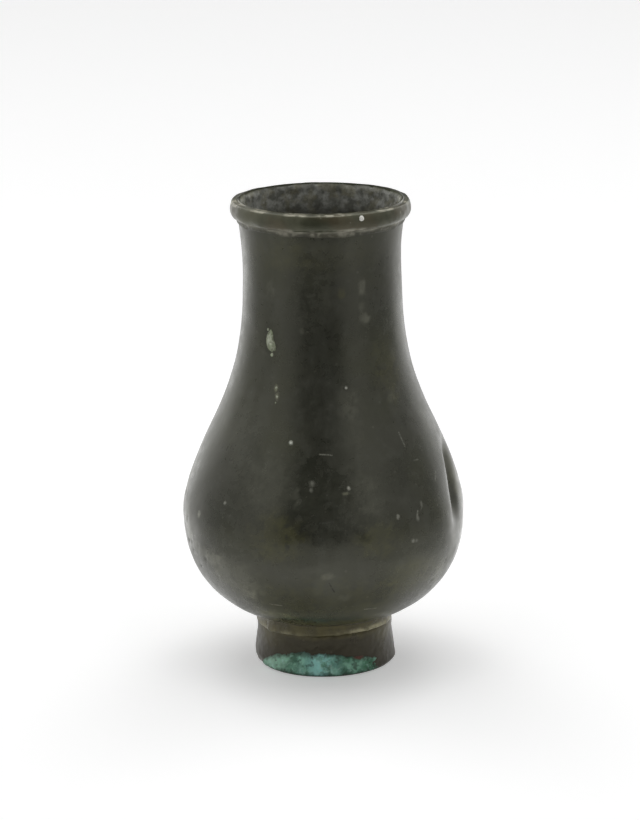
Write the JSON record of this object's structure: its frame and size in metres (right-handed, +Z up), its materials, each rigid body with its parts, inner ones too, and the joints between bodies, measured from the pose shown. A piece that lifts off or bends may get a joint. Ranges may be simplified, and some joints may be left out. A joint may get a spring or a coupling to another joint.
{
  "type": "bronze vase",
  "caption": "Small pear-shaped cast bronze vase with a rounded mouth ring, a flared soldered foot ring and a dark worn patina, for flowers or display.",
  "frame": {"origin": "on the vase's axis, in the plane its foot stands on", "axes": "+Z up along the axis through the mouth, -Y towards the viewer of the picture, +X to that viewer's right"},
  "size_m": [0.0771, 0.0776, 0.13],
  "materials": {
    "bronze_patina": "satin, dark olive-charcoal patina with small pale corrosion spots",
    "ring_patina": "satin, olive-brown patina worn paler on the edges",
    "foot_patina": "dull dark brown patina with a green corrosion crust low on the front",
    "plate_patina": "dull dark brown patina",
    "plug_bronze": "dull, pale grey-green corrosion",
    "solder": "dull pale grey-brown, patchy"
  },
  "bodies": {
    "root": {"body_casting": "bronze_patina", "mouth_ring": "ring_patina", "mouth_ring_solder": "solder", "foot_ring": "foot_patina", "foot_ring_solder": "solder", "base_plate": "plate_patina", "base_plate_solder": "solder", "core_plug_upper_1": "plug_bronze", "core_plug_upper_2": "plug_bronze", "core_plug_upper_3": "plug_bronze", "core_plug_lower_1": "plug_bronze", "core_plug_lower_2": "plug_bronze", "core_plug_lower_3": "plug_bronze"}
  },
  "joints": []
}
